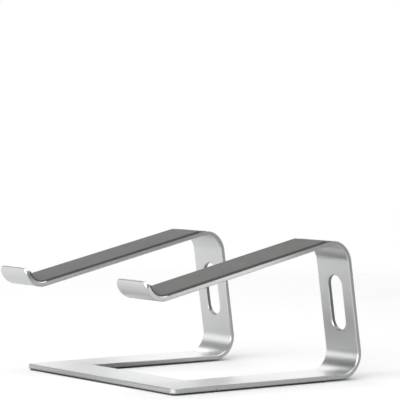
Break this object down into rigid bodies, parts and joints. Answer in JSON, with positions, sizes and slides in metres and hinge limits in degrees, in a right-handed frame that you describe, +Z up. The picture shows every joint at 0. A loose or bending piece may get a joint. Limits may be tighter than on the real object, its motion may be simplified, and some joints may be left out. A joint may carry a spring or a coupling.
{
  "type": "laptop stand",
  "caption": "Raised laptop stand: a flat crossbar and two bent aluminium arms with leaning slotted legs, sloping padded supports and hooks at the front.",
  "frame": {"origin": "middle of the stand's bounding box, on the desk surface under the foot pads", "axes": "+X to the user's right across the crossbar, +Y away from the user towards the legs, +Z up"},
  "size_m": [0.26, 0.2666, 0.1414],
  "materials": {
    "anodised_aluminium": "satin, bead blasted and anodised, bright chamfers",
    "grey_silicone": "matt, fine grain",
    "dark_rubber": "matt",
    "plated_steel": "nickel plated"
  },
  "bodies": {
    "root": {"front_crossbar": "anodised_aluminium", "crossbar_foot_pad": "dark_rubber", "left_arm": "anodised_aluminium", "left_arm_pad": "grey_silicone", "left_foot_pad": "dark_rubber", "left_outer_screw": "plated_steel", "left_inner_screw": "plated_steel", "right_arm": "anodised_aluminium", "right_arm_pad": "grey_silicone", "right_foot_pad": "dark_rubber", "right_outer_screw": "plated_steel", "right_inner_screw": "plated_steel"}
  },
  "joints": []
}
